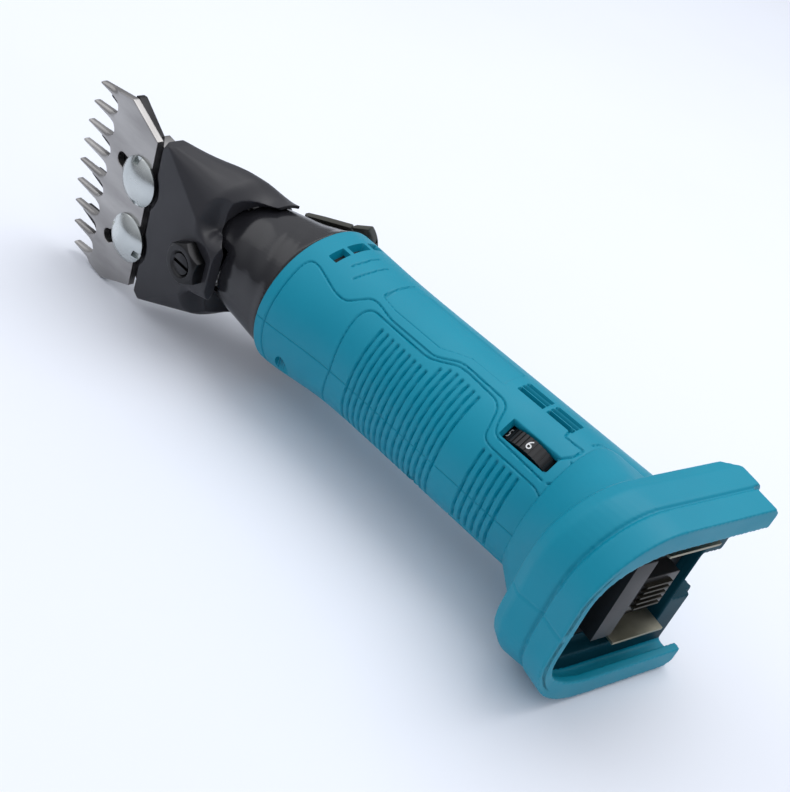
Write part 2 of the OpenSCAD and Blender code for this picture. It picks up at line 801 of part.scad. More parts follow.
// The slide-in bay: lips, rail slots behind them and the floor
module battery_bay() {
    open_end = foot_len + 10;
    foot_axes() {
        foot_slab(-lip_t, 1) {
            for (side = [-1, 1]) translate([bay_start + 19, side * (lip_half - 19)]) circle(r = 19);
            translate([bay_start, -(lip_half - 19)]) square([open_end, 2 * (lip_half - 19)]);
            translate([bay_start + 19, -lip_half]) square([open_end, 2 * lip_half]);
        }
        foot_slab(floor_n, -lip_t + 0.01) {
            for (side = [-1, 1]) translate([bay_start + 19, side * (foot_half - bay_wall - 19)]) circle(r = 19);
            translate([bay_start, -(foot_half - bay_wall - 19)]) square([open_end, 2 * (foot_half - bay_wall - 19)]);
            translate([bay_start + 19, -foot_half + bay_wall]) square([open_end, 2 * (foot_half - bay_wall)]);
        }
        foot_slab(floor_n - 7, floor_n + 0.1) translate([foot_len - 9, -11]) square([20, 22]);
    }
}

module vent_cuts() {
    for (side = [-1, 1]) {
        for (a = [66, 86, 108]) rotate([side * a, 0, 0]) translate([vent_x - 1.7, -36, -3.6]) cube([3.4, 14, 7.2]);
        for (x = [90, 102.5]) for (a = [88, 93.5, 99]) rotate([side * a, 0, 0])
            translate([x, -32, -0.8]) cube([10, 12, 1.6]);
    }
}

module dial_window() {
    rotate([-dial_angle, 0, 0]) translate([dial_x - 9.5, -32, -dial_w / 2 - 0.6]) cube([19, 24, dial_w + 1.2]);
}

module housing_half(side) {
    difference() {
        intersection() {
            union() {
                grip_solid();
                foot_solid();
            }
            half_space(side);
        }
        housing_hollow();
        battery_bay();
        vent_cuts();
        if (side > 0) dial_window();
        for (spot = screw_spots) {
            if (side > 0) rod_z(-1, 9, screw_r - 0.2, spot[0], spot[1]);
            if (side < 0) rod_z(screw_seat_z - 1, 1, screw_r, spot[0], spot[1]);
            if (side < 0) rod_z(-60, screw_seat_z, screw_cap_r + 0.2, spot[0], spot[1]);
        }
    }
}

module housing_upper() {
    color(teal) housing_half(1);
}

module housing_lower() {
    color(dark_teal) housing_half(-1);
}

module housing_screws() {
    color(black_plastic) for (spot = screw_spots) difference() {
        union() {
            rod_z(screw_seat_z - 2, screw_seat_z, screw_cap_r, spot[0], spot[1]);
            rod_z(screw_seat_z - 0.1, 0, screw_r, spot[0], spot[1]);
            rod_z(-0.1, 8, screw_r - 0.2, spot[0], spot[1]);
        }
        translate([spot[0] - 1.8, spot[1] - 0.35, screw_seat_z - 2.1]) cube([3.6, 0.7, 1]);
        translate([spot[0] - 0.35, spot[1] - 1.8, screw_seat_z - 2.1]) cube([0.7, 3.6, 1]);
    }
}

// ---- Speed control ----

module dial_axes() {
    rotate([-dial_angle, 0, 0]) translate([dial_x, -dial_centre_r, 0]) children();
}

module speed_dial() {
    ribs = 40;
    color(black_plastic) dial_axes() difference() {
        rod_z(-dial_w / 2, dial_w / 2, dial_r);
        rod_z(-dial_w, dial_w, 2 + fit);
        for (i = [0 : ribs - 1]) rotate([0, 0, 360 * i / ribs]) translate([dial_r - 0.35, -0.35, -dial_w])
            cube([1, 0.7, 2 * dial_w]);
    }
}

module dial_pin() {
    color(steel) dial_axes() {
        rod_z(-dial_w / 2 - 1.6, dial_w / 2 + 1.6, 2);
        rod_z(-dial_w / 2 - 4.6, -dial_w / 2 - 1.6, 4.5);
    }
}

module control_board() {
    color([0.05, 0.30, 0.14]) translate([86, -1, -19]) cube([40, 1.6, 19]);
}

module board_parts() {
    color([0.12, 0.12, 0.13]) {
        rod_y(0.6, 14, 5, 96.5, -8);
        translate([102, 0.6, -12]) cube([12, 9, 3]);
        translate([117, 0.6, -14]) cube([6, 3, 12]);
        translate([100, -4, -14]) cube([10, 3, 8]);
    }
}

// ---- Battery contacts ----

module terminal_block() {
    color(black_plastic) foot_axes() {
        foot_slab(pocket_n - 3, pocket_n) translate([17, -23.5]) square([42.5, 47]);
        foot_slab(pocket_n - 0.1, floor_n + 2.3) translate([26, -17.6]) square([8.5, 35.2]);
        foot_slab(pocket_n - 0.1, floor_n + 1.3) translate([34.4, -7.5]) square([17, 15]);
    }
}

module power_blades() {
    color([0.72, 0.66, 0.48]) foot_axes() for (side = [-1, 1])
        translate([pocket_n, blade_s[0], side * blade_out - 0.5]) cube([blade_n - pocket_n, blade_s[1] - blade_s[0], 1]);
}

module signal_contacts() {
    color([0.72, 0.66, 0.48]) foot_axes() for (z = [-5, -2.5, 0, 2.5, 5])
        translate([floor_n + 1.3, 37, z - 0.4]) cube([1.5, 11, 0.8]);
}

// ---- Leads ----

module motor_leads() {
    end_x = motor_x + motor_length;
    color([0.7, 0.08, 0.06]) for (side = [-1, 1]) {
        rod_x(end_x, 88.5, 1, 13, side * 4.5 - 6);
        rod_y(0.6, 14.2, 1.2, 88.5, side * 4.5 - 6);
    }
}

module battery_leads() {
    color([0.7, 0.08, 0.06]) for (side = [-1, 1]) rod_x(120, 150.2, 1.1, -2.1, side * 6 - 9);
}

place() comb();
place() cutter();
place() comb_screws();
place() head_casting();
place() fork();
place() claws();
place() centre_post();
place() lock_nut();
place() tension_sleeve();
place() tension_pin();
place() tension_spring();
place() tension_knob();
place() crank_shaft();
place() crank_roller();
place() front_bearing();
place() rear_bearing();
place() driven_gear();
place() bearing_plate();
place() neck_cover();
place() neck_seal();
place() power_slider();
place() slider_guard();
place() power_switch();
place() motor_plate();
place() motor_can();
place() motor_shaft();
place() cooling_fan();
place() motor_pinion();
place() housing_upper();
place() housing_lower();
place() housing_screws();
place() speed_dial();
place() dial_pin();
place() control_board();
place() board_parts();
place() terminal_block();
place() power_blades();
place() signal_contacts();
place() motor_leads();
place() battery_leads();
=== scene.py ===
# Looks of the cordless sheep shears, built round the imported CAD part.
# Places are worked out in the part's working axes, in millimetres: x from the blades to the battery
# foot with 0 at the front edge of the handle, y towards the tool's top side with 0 on the handle
# axis, z across the tool. Angles round the grip run from the underside seam towards +z, in degrees.
import json
import math

import bmesh
import bpy
import numpy as np
from mathutils import Matrix, Vector, kdtree


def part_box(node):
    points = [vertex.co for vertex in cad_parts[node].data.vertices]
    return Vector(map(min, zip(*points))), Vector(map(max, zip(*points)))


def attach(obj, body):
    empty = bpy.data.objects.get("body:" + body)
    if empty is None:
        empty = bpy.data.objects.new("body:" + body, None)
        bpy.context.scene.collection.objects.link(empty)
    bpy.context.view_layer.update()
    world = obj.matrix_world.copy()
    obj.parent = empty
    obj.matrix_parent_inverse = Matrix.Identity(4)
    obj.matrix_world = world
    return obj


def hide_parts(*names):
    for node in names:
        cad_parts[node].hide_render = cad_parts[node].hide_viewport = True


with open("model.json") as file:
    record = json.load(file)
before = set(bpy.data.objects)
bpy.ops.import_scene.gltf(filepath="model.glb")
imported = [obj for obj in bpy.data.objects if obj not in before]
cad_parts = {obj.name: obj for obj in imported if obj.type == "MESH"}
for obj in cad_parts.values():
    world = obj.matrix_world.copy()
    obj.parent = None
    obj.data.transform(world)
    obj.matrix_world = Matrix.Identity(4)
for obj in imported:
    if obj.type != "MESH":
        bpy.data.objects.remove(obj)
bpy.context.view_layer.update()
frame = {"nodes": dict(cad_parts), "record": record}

# ---------------------------------------------------------------- dimensions
MM = 0.001
COMB_DROP = 33.4                    # comb's underside below the handle axis
TOOTH_PITCH, TEETH_EACH_SIDE = 8.8, 4
TOOTH_ROOT_X, COMB_REACH, TIP_CURVE = -90.0, 105.0, 5.1
HOLLOW_HEIGHT = 2.2                 # how far up the teeth the hollow grinding reaches
GRIP_R = 26.6
COLLAR_FLARE = 3.8
FLARE_LENGTH = 22.0
NECK_LINE = ((-38, -15, 0), (19.04, 25.25, 29.3))    # places along the neck and its radius there
FOOT_X, FOOT_Y, FOOT_TILT = 155.5, -45.7, math.radians(15.2)
FOOT_CORNER, FOOT_HALF = 28.0, 38.0
FOOT_SHOULDER = -24.5               # the shoulder's depth in front of the foot's open face
FOOT_CUT_X = 116                    # the foot's own mesh starts here, inside the grip
FOOT_NORMAL = (math.cos(FOOT_TILT), -math.sin(FOOT_TILT))
FOOT_SLIDE = (math.sin(FOOT_TILT), math.cos(FOOT_TILT))
NECK_Y, NECK_TILT = -0.5, math.radians(14)
ARCH_U, ARCH_R, ARCH_ANGLE, ARCH_LOWERED = -21.0, 15.0, 36.0, 7.0
CHEEK_REAR = -23.5
GUARD_SHORTENED = 0.36
DIAL_X, DIAL_ANGLE = 107.5, 56.0
DIGIT_SIZE, DIGIT_HEIGHT, DIGIT_GAP, DIGIT_STEP = 4.4, 0.06, 0.02, 50
SCREW_SPOTS = ((13.5, -24.4), (13.5, 25.2), (78.0, -19.5), (78.0, 19.5), (132.0, 17.0))
SCREW_DEPTH, SCREW_RECESS_R = -8.0, 2.8

comb_low, comb_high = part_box("comb")
seal_low, seal_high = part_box("neck_seal")
ORIGIN = Vector((seal_high.x, comb_low.y + COMB_DROP * MM, (comb_low.z + comb_high.z) / 2))


def place(x, y, z):
    """A point in working millimetres, in the row frame in metres."""
    return ORIGIN + Vector((x, y, z)) * MM


def to_working(obj):
    """The object's vertices in working millimetres, one row each."""
    co = np.zeros(len(obj.data.vertices) * 3)
    obj.data.vertices.foreach_get("co", co)
    return (co.reshape(-1, 3) - np.array(ORIGIN)) / MM


def from_working(obj, points):
    obj.data.vertices.foreach_set("co", (points * MM + np.array(ORIGIN)).ravel())
    obj.data.update()


# ---------------------------------------------------------------- materials
def new_material(name, color, rough, metallic=0.0):
    material = bpy.data.materials.new(name)
    material.use_nodes = True
    shader = material.node_tree.nodes["Principled BSDF"]
    shader.inputs["Base Color"].default_value = (*color, 1)
    shader.inputs["Roughness"].default_value = rough
    shader.inputs["Metallic"].default_value = metallic
    return material


def noise(tree, scale, detail=4.0, stretch=(1, 1, 1)):
    """A noise texture in the object's own coordinates."""
    coord = tree.nodes.new("ShaderNodeTexCoord")
    mapping = tree.nodes.new("ShaderNodeMapping")
    mapping.inputs["Scale"].default_value = stretch
    texture = tree.nodes.new("ShaderNodeTexNoise")
    texture.inputs["Scale"].default_value = scale
    texture.inputs["Detail"].default_value = detail
    tree.links.new(coord.outputs["Object"], mapping.inputs["Vector"])
    tree.links.new(mapping.outputs["Vector"], texture.inputs["Vector"])
    return texture


def ramp(tree, source, stops):
    """A colour ramp on the source's factor, with stops of (position, colour)."""
    node = tree.nodes.new("ShaderNodeValToRGB")
    while len(node.color_ramp.elements) < len(stops):
        node.color_ramp.elements.new(0.5)
    for element, (at, color) in zip(node.color_ramp.elements, stops):
        element.position = at
        element.color = (*color, 1)
    tree.links.new(source.outputs["Fac"], node.inputs["Fac"])
    return node


def grain(material, scale, strength, distance=0.00005, detail=3.0, stretch=(1, 1, 1)):
    """Fine surface grain as bump."""
    tree = material.node_tree
    texture = noise(tree, scale, detail, stretch)
    bump = tree.nodes.new("ShaderNodeBump")
    bump.inputs["Strength"].default_value = strength
    bump.inputs["Distance"].default_value = distance
    tree.links.new(texture.outputs["Fac"], bump.inputs["Height"])
    tree.links.new(bump.outputs["Normal"], tree.nodes["Principled BSDF"].inputs["Normal"])


def tone(material, scale, dark, light, stretch=(1, 1, 1), low=0.35, high=0.65):
    """Slow change of colour over the surface."""
    tree = material.node_tree
    colors = ramp(tree, noise(tree, scale, 5.0, stretch), ((low, dark), (high, light)))
    tree.links.new(colors.outputs["Color"], tree.nodes["Principled BSDF"].inputs["Base Color"])


def worn_roughness(material, scale, smooth, rough, stretch=(1, 1, 1)):
    """Roughness that varies between smooth and rough over the surface."""
    tree = material.node_tree
    stops = ((0.3, (smooth,) * 3), (0.7, (rough,) * 3))
    levels = ramp(tree, noise(tree, scale, 6.0, stretch), stops)
    tree.links.new(levels.outputs["Color"], tree.nodes["Principled BSDF"].inputs["Roughness"])


def moulded(name, dark, light, smooth, rough, bump=0.25, specular=0.5):
    """Moulded plastic, rubber or a coat of paint, with a fine grain."""
    material = new_material(name, light, rough)
    shader = material.node_tree.nodes["Principled BSDF"]
    shader.inputs["Specular IOR Level"].default_value = specular
    tone(material, 18, dark, light)
    worn_roughness(material, 60, smooth, rough)
    grain(material, 2600, bump, 0.00006)
    return material


def metal(name, dark, light, smooth, rough, stretch=(1, 1, 1), bump=0.15):
    """Bare or plated metal, with its grinding marks along the stretch."""
    material = new_material(name, light, rough, 1.0)
    tone(material, 60, dark, light, stretch)
    worn_roughness(material, 120, smooth, rough, stretch)
    grain(material, 900, bump, 0.00004, stretch=stretch)
    return material


MATERIALS = {
    "body_teal": moulded("teal_moulding", (0.0, 0.235, 0.345), (0.0, 0.26, 0.375),
                         0.42, 0.54, 0.35, 0.3),
    "bay_shadow": moulded("teal_in_shadow", (0.0, 0.035, 0.055), (0.0, 0.05, 0.075),
                          0.5, 0.6, 0.3, 0.2),
    # Near-black painted shade for faces deep in the vents, the dial window's walls and the screw
    # recesses
    "pocket": moulded("vent_painted_shade", (0.004, 0.005, 0.006), (0.008, 0.009, 0.010), 0.6, 0.8),
    # Dark painted shade for the signal contacts deep in the battery bay, in place of their brass
    "contact_painted_shade": metal("painted_shade_contact", (0.05, 0.045, 0.035), (0.09, 0.085, 0.07),
                          0.45, 0.6),
    "head_grey": moulded("head_coat", (0.018, 0.018, 0.022), (0.026, 0.026, 0.031),
                         0.38, 0.5, 0.5, 0.35),
    "neck_black": moulded("neck_gloss", (0.010, 0.010, 0.012), (0.015, 0.015, 0.018),
                          0.16, 0.26, 0.05),
    "seal_rubber": moulded("seal", (0.006, 0.006, 0.006), (0.010, 0.010, 0.010), 0.6, 0.8),
    "slider_grey": moulded("olive_grey", (0.055, 0.055, 0.045), (0.065, 0.065, 0.055), 0.5, 0.62),
    "black_plastic": moulded("black_moulding", (0.008, 0.008, 0.009), (0.014, 0.014, 0.015),
                             0.35, 0.5),
    "black_steel": metal("black_oxide", (0.02, 0.02, 0.021), (0.045, 0.045, 0.047), 0.3, 0.45),
    "comb_steel": metal("ground_steel", (0.30, 0.29, 0.285), (0.46, 0.45, 0.44),
                        0.30, 0.46, (0.5, 1, 2)),
    "zinc": metal("zinc_plate", (0.46, 0.49, 0.49), (0.62, 0.65, 0.64), 0.16, 0.34),
    "bronze": metal("tinned_brass", (0.26, 0.25, 0.19), (0.38, 0.36, 0.29), 0.38, 0.52),
    "board_green": moulded("solder_mask", (0.01, 0.09, 0.03), (0.015, 0.12, 0.045), 0.4, 0.5),
    "lead_red": moulded("lead_sleeve", (0.30, 0.015, 0.012), (0.36, 0.02, 0.015), 0.45, 0.6),
    "white_ink": moulded("white_ink", (0.75, 0.75, 0.75), (0.85, 0.85, 0.85), 0.5, 0.6),
}
NODE_SLOTS = {s["node"]: s["material_slot"] for s in frame["record"]["subparts"]}


def paint(obj, *names):
    obj.data.materials.clear()
    for name in names:
        obj.data.materials.append(MATERIALS[name])


for node, cad in frame["nodes"].items():
    # The signal contacts get the dark painted shade instead of the brass in their record
    paint(cad, "contact_painted_shade" if node == "signal_contacts" else NODE_SLOTS[node])


# ---------------------------------------------------------------- mesh helpers
def smooth_step(value):
    """An eased step from 0 to 1 as the value goes from 0 to 1."""
    t = np.clip(value, 0, 1)
    return t * t * (3 - 2 * t)


def bell(value, width):
    """A bell curve of height 1 round 0."""
    return np.exp(-(value / width) ** 2)


def shade_smooth(obj, angle=None):
    """Smooth shading, with edges sharper than the angle kept crisp."""
    obj.data.polygons.foreach_set("use_smooth", [True] * len(obj.data.polygons))
    if angle is not None:
        obj.data.set_sharp_from_angle(angle=math.radians(angle))
    obj.data.update()


def new_object(name, verts, faces):
    mesh = bpy.data.meshes.new(name)
    mesh.from_pydata([tuple(v) for v in verts], [], faces)
    mesh.update()
    obj = bpy.data.objects.new(name, mesh)
    bpy.context.scene.collection.objects.link(obj)
    return obj


def copy_nodes(name, *nodes):
    """One new object holding the CAD meshes of the nodes."""
    verts, faces = [], []
    for node in nodes:
        mesh = frame["nodes"][node].data
        start = len(verts)
        verts.extend(v.co[:] for v in mesh.vertices)
        faces.extend(tuple(start + i for i in p.vertices) for p in mesh.polygons)
    obj = new_object(name, verts, faces)
    bm = bmesh.new()
    bm.from_mesh(obj.data)
    bmesh.ops.remove_doubles(bm, verts=bm.verts, dist=1e-6)
    bm.to_mesh(obj.data)
    bm.free()
    return obj


def apply_modifiers(obj):
    bpy.context.view_layer.update()
    graph = bpy.context.evaluated_depsgraph_get()
    mesh = bpy.data.meshes.new_from_object(obj.evaluated_get(graph))
    old = obj.data
    obj.modifiers.clear()
    obj.data = mesh
    bpy.data.meshes.remove(old)


def recast(obj, voxel, rounds):
    """Remeshes the object and softens its edges, as a moulding or a casting has them."""
    remesh = obj.modifiers.new("remesh", "REMESH")
    remesh.mode = "VOXEL"
    remesh.voxel_size = voxel * MM
    soften = obj.modifiers.new("soften", "SMOOTH")
    soften.factor = 0.5
    soften.iterations = rounds
    apply_modifiers(obj)
    shade_smooth(obj)


def bevelled(node, width, body, segments=2):
    """A copy of a CAD node with its edges broken, shown in place of the node."""
    obj = copy_nodes(node + "_finished", node)
    bevel = obj.modifiers.new("bevel", "BEVEL")
    bevel.width = width * MM
    bevel.segments = segments
    bevel.limit_method = "ANGLE"
    bevel.angle_limit = math.radians(40)
    bevel.use_clamp_overlap = True
    apply_modifiers(obj)
    shade_smooth(obj, 30)
    paint(obj, NODE_SLOTS[node])
    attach(obj, body)
    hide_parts(node)
    return obj


# ---------------------------------------------------------------- grip
# Lines on the grip, each a list of (x, angle), and with each the radius of its corners
COLLAR_LINE = ((4.6, -60), (4.6, 0), (4.7, 27), (4.6, 47), (5.6, 54), (9, 55), (16, 51), (20, 48.5),
               (23.5, 48), (26, 49), (28.6, 55), (31, 62), (33, 64), (36, 63.5), (42, 60.5),
               (62.9, 60.5), (66, 64), (70, 70), (73, 71.5), (90.2, 70), (93, 66), (95.2, 52),
               (97.2, 46), (118, 43.5))
GRIP_LINE = ((36.3, -60), (36.1, -33), (35.9, -12), (34.9, 12), (33.4, 33), (32.9, 47), (34.2, 55),
             (36.8, 57.5), (42, 57), (62, 56.4), (66.5, 61), (71, 67), (75, 68), (88.5, 66),
             (91.5, 61), (93.6, 49), (94.6, 42), (96.2, 39), (99, 38), (118, 37), (121, 34))
PANEL_EDGE = ((34.0, 100), (33.2, 71.5), (40, 69.0), (62, 69.0), (71.5, 80.5), (85.5, 80.5),
              (85.5, 107), (40, 107), (34.0, 100), (33.6, 90))
STEP_LINES = (((21.1, 65), (22.4, 80), (23.2, 98)), ((16.5, 72), (17.2, 84), (17.6, 100)))
FOOT_LINES = (((117, 62), (119.5, 70), (120, 80), (112.5, 79), (111.5, 90)),
              ((120, 90), (121, 98), (124, 101), (136, 101)),
              ((120, 44), (123, 50), (124, 60), (120.5, 66)))
GRIP_LINES = [(COLLAR_LINE, 2.5), (GRIP_LINE, 3.0), (PANEL_EDGE, 0.8)]
GRIP_LINES += [(line, 0.8) for line in STEP_LINES + FOOT_LINES]
# The lower edge of the sunken panel as (places, angles), its other limits and its depth
PANEL_LOW = ((33.2, 40, 62, 71.5, 85.5), (71.5, 69, 69, 80.5, 80.5))
PANEL_TOP_ANGLE, PANEL_FRONT, PANEL_REAR, PANEL_STEP = 106, 33.8, 85.3, 0.45
# Ribs, each a place along the grip and the angle that it ends at
RIBS = [(44.2 + 2.72 * i, 50 - 0.25 * i) for i in range(9)]
RIBS += [(66.4 + 2.72 * i, top) for i, top in enumerate((56, 60, 61, 60.5, 60, 59.5, 58.5), 1)]
RIBS += [(98.2 + 2.9 * i, 33.5) for i in range(6)]
LINE_WIDTH, LINE_DEPTH = 0.5, 0.7
RIB_WIDTH, RIB_DEPTH, RIB_SLANT = 0.72, 1.0, 1.2
SEAM_WIDTH, SEAM_DEPTH = 0.3, 0.3
VENT_X, VENT_HALF, VENT_RADIUS = 10.2, 1.6, 29.9
VENTS_FRONT = ((72.5, 6.6), (92, 8.4), (112, 6.2))      # angle and width
VENTS_REAR = [(x, a) for x in (95, 107.5) for a in (88, 93.5, 99)]
REAR_VENT_HALF, REAR_VENT_ACROSS, REAR_VENT_EDGE = 5, 0.8, 0.25
WINDOW_HALF, WINDOW_ACROSS = 9.5, 3.2
GRIP_ROWS, GRIP_COLUMNS = 440, 270
STRAIGHT_ROWS, STRAIGHT_END = 0.86, 118.0    # rows after the straight end run out to the foot
POCKET_DEPTH = 3.0
POCKET_PAINTED_SHADE, WINDOW_OPEN = 0.75, 0.98        # a face further in is painted near-black as shade, or is left out
FRONT_ROUND, LIP_SCALE = 0.8, 0.9


def collar_drop(angle):
    """How much less the collar flares towards the top side, by the angle round the grip."""
    return np.clip(1.8 - 2.2 * np.cos(np.radians(angle + 30)), 0, 2.6)


def grip_radius(x, angle):
    return GRIP_R + (COLLAR_FLARE - collar_drop(angle)) * np.exp(-(x / FLARE_LENGTH) ** 2)


def rounded(points, radius, step=0.25):
    """Close samples along straight runs through the points, corners rounded, in (x, arc length)."""
    flat = [Vector((x, math.radians(a) * GRIP_R, 0)) for x, a in points]
    stops = [flat[0]]
    for before, corner, after in zip(flat, flat[1:], flat[2:]):
        back, ahead = before - corner, after - corner
        reach = min(radius, back.length / 2, ahead.length / 2)
        start, end = corner + back.normalized() * reach, corner + ahead.normalized() * reach
        for k in range(9):
            t = k / 8
            stops.append(start * (1 - t) ** 2 + corner * 2 * t * (1 - t) + end * t ** 2)
    stops.append(flat[-1])
    samples = []
    for a, b in zip(stops, stops[1:]):
        count = max(1, int((b - a).length / step))
        samples.extend(a.lerp(b, k / count) for k in range(count))
    samples.append(stops[-1])
    return samples


def distance_field(lines):
    """A search tree of samples along the lines, for the distance to the nearest one."""
    samples = [p for line, radius in lines for p in rounded(line, radius)]
    tree = kdtree.KDTree(len(samples))
    for i, p in enumerate(samples):
        tree.insert(p, i)
    tree.balance()
    return tree


def groove(distance, width, depth):
    """Depth of an eased groove, by the distance from its middle line."""
    return depth * smooth_step(1 - distance / width)


def smooth_box(value, half, edge=0.35):
    """1 inside +-half, falling to 0 over the edge."""
    return np.clip((half + edge - np.abs(value)) / edge, 0, 1)


def grip_end(y):
    """Where the grip runs into the foot's shoulder, for a point at height y."""
    return FOOT_X + (FOOT_SHOULDER - (y - FOOT_Y) * FOOT_NORMAL[1]) / FOOT_NORMAL[0]


def arc_length(degrees, radius=GRIP_R):
    return np.radians(degrees) * radius


def cut_depth(x, a, side):
    """How deep the lines, ribs, seam and sunken panel are cut into the grip."""
    lines = [([(px, pa * side) for px, pa in line], radius) for line, radius in GRIP_LINES]
    tree = distance_field(lines)
    spots = zip(x.ravel(), arc_length(a).ravel())
    near = np.array([tree.find((px, pa, 0))[2] for px, pa in spots]).reshape(x.shape)
    depth = groove(near, LINE_WIDTH, LINE_DEPTH)
    for rib_x, top in RIBS:
        beyond = np.maximum(arc_length(np.abs(a) - top), 0)
        slant = RIB_SLANT * np.radians(np.abs(a))
        from_rib = np.hypot(x - rib_x + slant, beyond)
        depth = np.maximum(depth, groove(from_rib, RIB_WIDTH, RIB_DEPTH))
    seam = arc_length(np.minimum(np.abs(a), 180 - np.abs(a)))
    depth = np.maximum(depth, groove(seam, SEAM_WIDTH, SEAM_DEPTH))
    low_side = np.interp(x, *PANEL_LOW)
    panel = smooth_step((np.abs(a) - low_side) * 1.4)
    panel *= smooth_step((PANEL_TOP_ANGLE - np.abs(a)) * 1.4)
    panel *= smooth_step((x - PANEL_FRONT) * 3) * smooth_step((PANEL_REAR - x) * 3)
    return np.maximum(depth, PANEL_STEP * panel)


def vent_pockets(x, a):
    """1 inside the vents of the grip, 0 outside."""
    pocket = np.zeros_like(x)
    for angle, width in VENTS_FRONT:
        across = smooth_box(arc_length(np.abs(a) - angle, VENT_RADIUS), width / 2)
        pocket = np.maximum(pocket, smooth_box(x - VENT_X, VENT_HALF) * across)
    for vent_x, angle in VENTS_REAR:
        from_middle = arc_length(np.abs(a) - angle)
        across = smooth_box(from_middle, REAR_VENT_ACROSS, REAR_VENT_EDGE)
        pocket = np.maximum(pocket, smooth_box(x - vent_x, REAR_VENT_HALF) * across)
    return pocket


def build_grip(side):
    """The outside of one half of the grip; side +1 is the upper half."""
    angles = np.linspace(0, 180, GRIP_COLUMNS) * side
    ends = np.array([grip_end(-GRIP_R * math.cos(a)) for a in np.radians(angles)])
    rows = np.linspace(0, 1, GRIP_ROWS)[:, None]
    run_out = (rows - STRAIGHT_ROWS) / (1 - STRAIGHT_ROWS) * (ends[None, :] - STRAIGHT_END)
    x = np.where(rows < STRAIGHT_ROWS, rows / STRAIGHT_ROWS * STRAIGHT_END, STRAIGHT_END + run_out)
    a = np.broadcast_to(angles[None, :], x.shape)
    pocket = vent_pockets(x, a)
    window = np.zeros_like(x)
    if side > 0:
        window = smooth_box(x - DIAL_X, WINDOW_HALF)
        window *= smooth_box(arc_length(a - DIAL_ANGLE), WINDOW_ACROSS)
        pocket = np.maximum(pocket, window)
    r = grip_radius(x, a) - cut_depth(x, a, side) - POCKET_DEPTH * pocket
    r -= FRONT_ROUND * np.clip(1 - x / FRONT_ROUND, 0, 1) ** 2
    y = -r * np.cos(np.radians(a))
    z = r * np.sin(np.radians(a))
    if side < 0:
        for screw_x, screw_y in SCREW_SPOTS:
            inside = np.hypot(x - screw_x, y - screw_y) < SCREW_RECESS_R
            z = np.where(inside, np.maximum(z, SCREW_DEPTH), z)
            # The screw recesses are painted near-black as shade, like the vents
            pocket = np.where(inside, 1, pocket)
    count = x.shape[1]
    points = np.stack([x, y, z], -1).reshape(-1, 3)
    lip = np.stack([x[0], y[0] * LIP_SCALE, z[0] * LIP_SCALE], -1)
    points = np.concatenate([points, lip])
    verts = points * MM + np.array(ORIGIN)
    faces, dark = [], []
    for i in range(x.shape[0] - 1):
        for j in range(count - 1):
            if window[i:i + 2, j:j + 2].min() > WINDOW_OPEN:
                continue
            k = i * count + j
            quad = (k, k + 1, k + count + 1, k + count)
            faces.append(quad if side < 0 else quad[::-1])
            # Faces deep in a vent, on the dial window's walls or in a screw recess are painted
            # near-black as shade
            dark.append(min(pocket[i, j], pocket[i + 1, j + 1]) > POCKET_PAINTED_SHADE)
    start = x.shape[0] * count
    for j in range(count - 1):
        quad = (start + j, start + j + 1, j + 1, j)
        faces.append(quad if side < 0 else quad[::-1])
        dark.append(False)
    name = "grip_upper" if side > 0 else "grip_lower"
    obj = new_object(name, verts, faces)
    # The second material is the near-black painted shade in the pockets
    paint(obj, "body_teal", "pocket")
    obj.data.polygons.foreach_set("material_index", [1 if d else 0 for d in dark])
    shade_smooth(obj, 50)
    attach(obj, "tool")
    return obj


grip_upper = build_grip(1)
grip_lower = build_grip(-1)


# ---------------------------------------------------------------- battery foot
def foot_coordinates(p):
    """The points' depth n from the foot's open face and their place s along the battery's slide."""
    dx = p[:, 0] - FOOT_X
    dy = p[:, 1] - FOOT_Y
    return dx * FOOT_NORMAL[0] + dy * FOOT_NORMAL[1], dx * FOOT_SLIDE[0] + dy * FOOT_SLIDE[1]


def foot_inset(s, z):
    """How far inside the foot's rounded outline a point lies."""
    across = np.abs(z) - (FOOT_HALF - FOOT_CORNER)
    rounded_end = FOOT_CORNER - np.hypot(FOOT_CORNER - s, np.maximum(across, 0))
    return np.where(s < FOOT_CORNER, rounded_end, FOOT_HALF - np.abs(z))


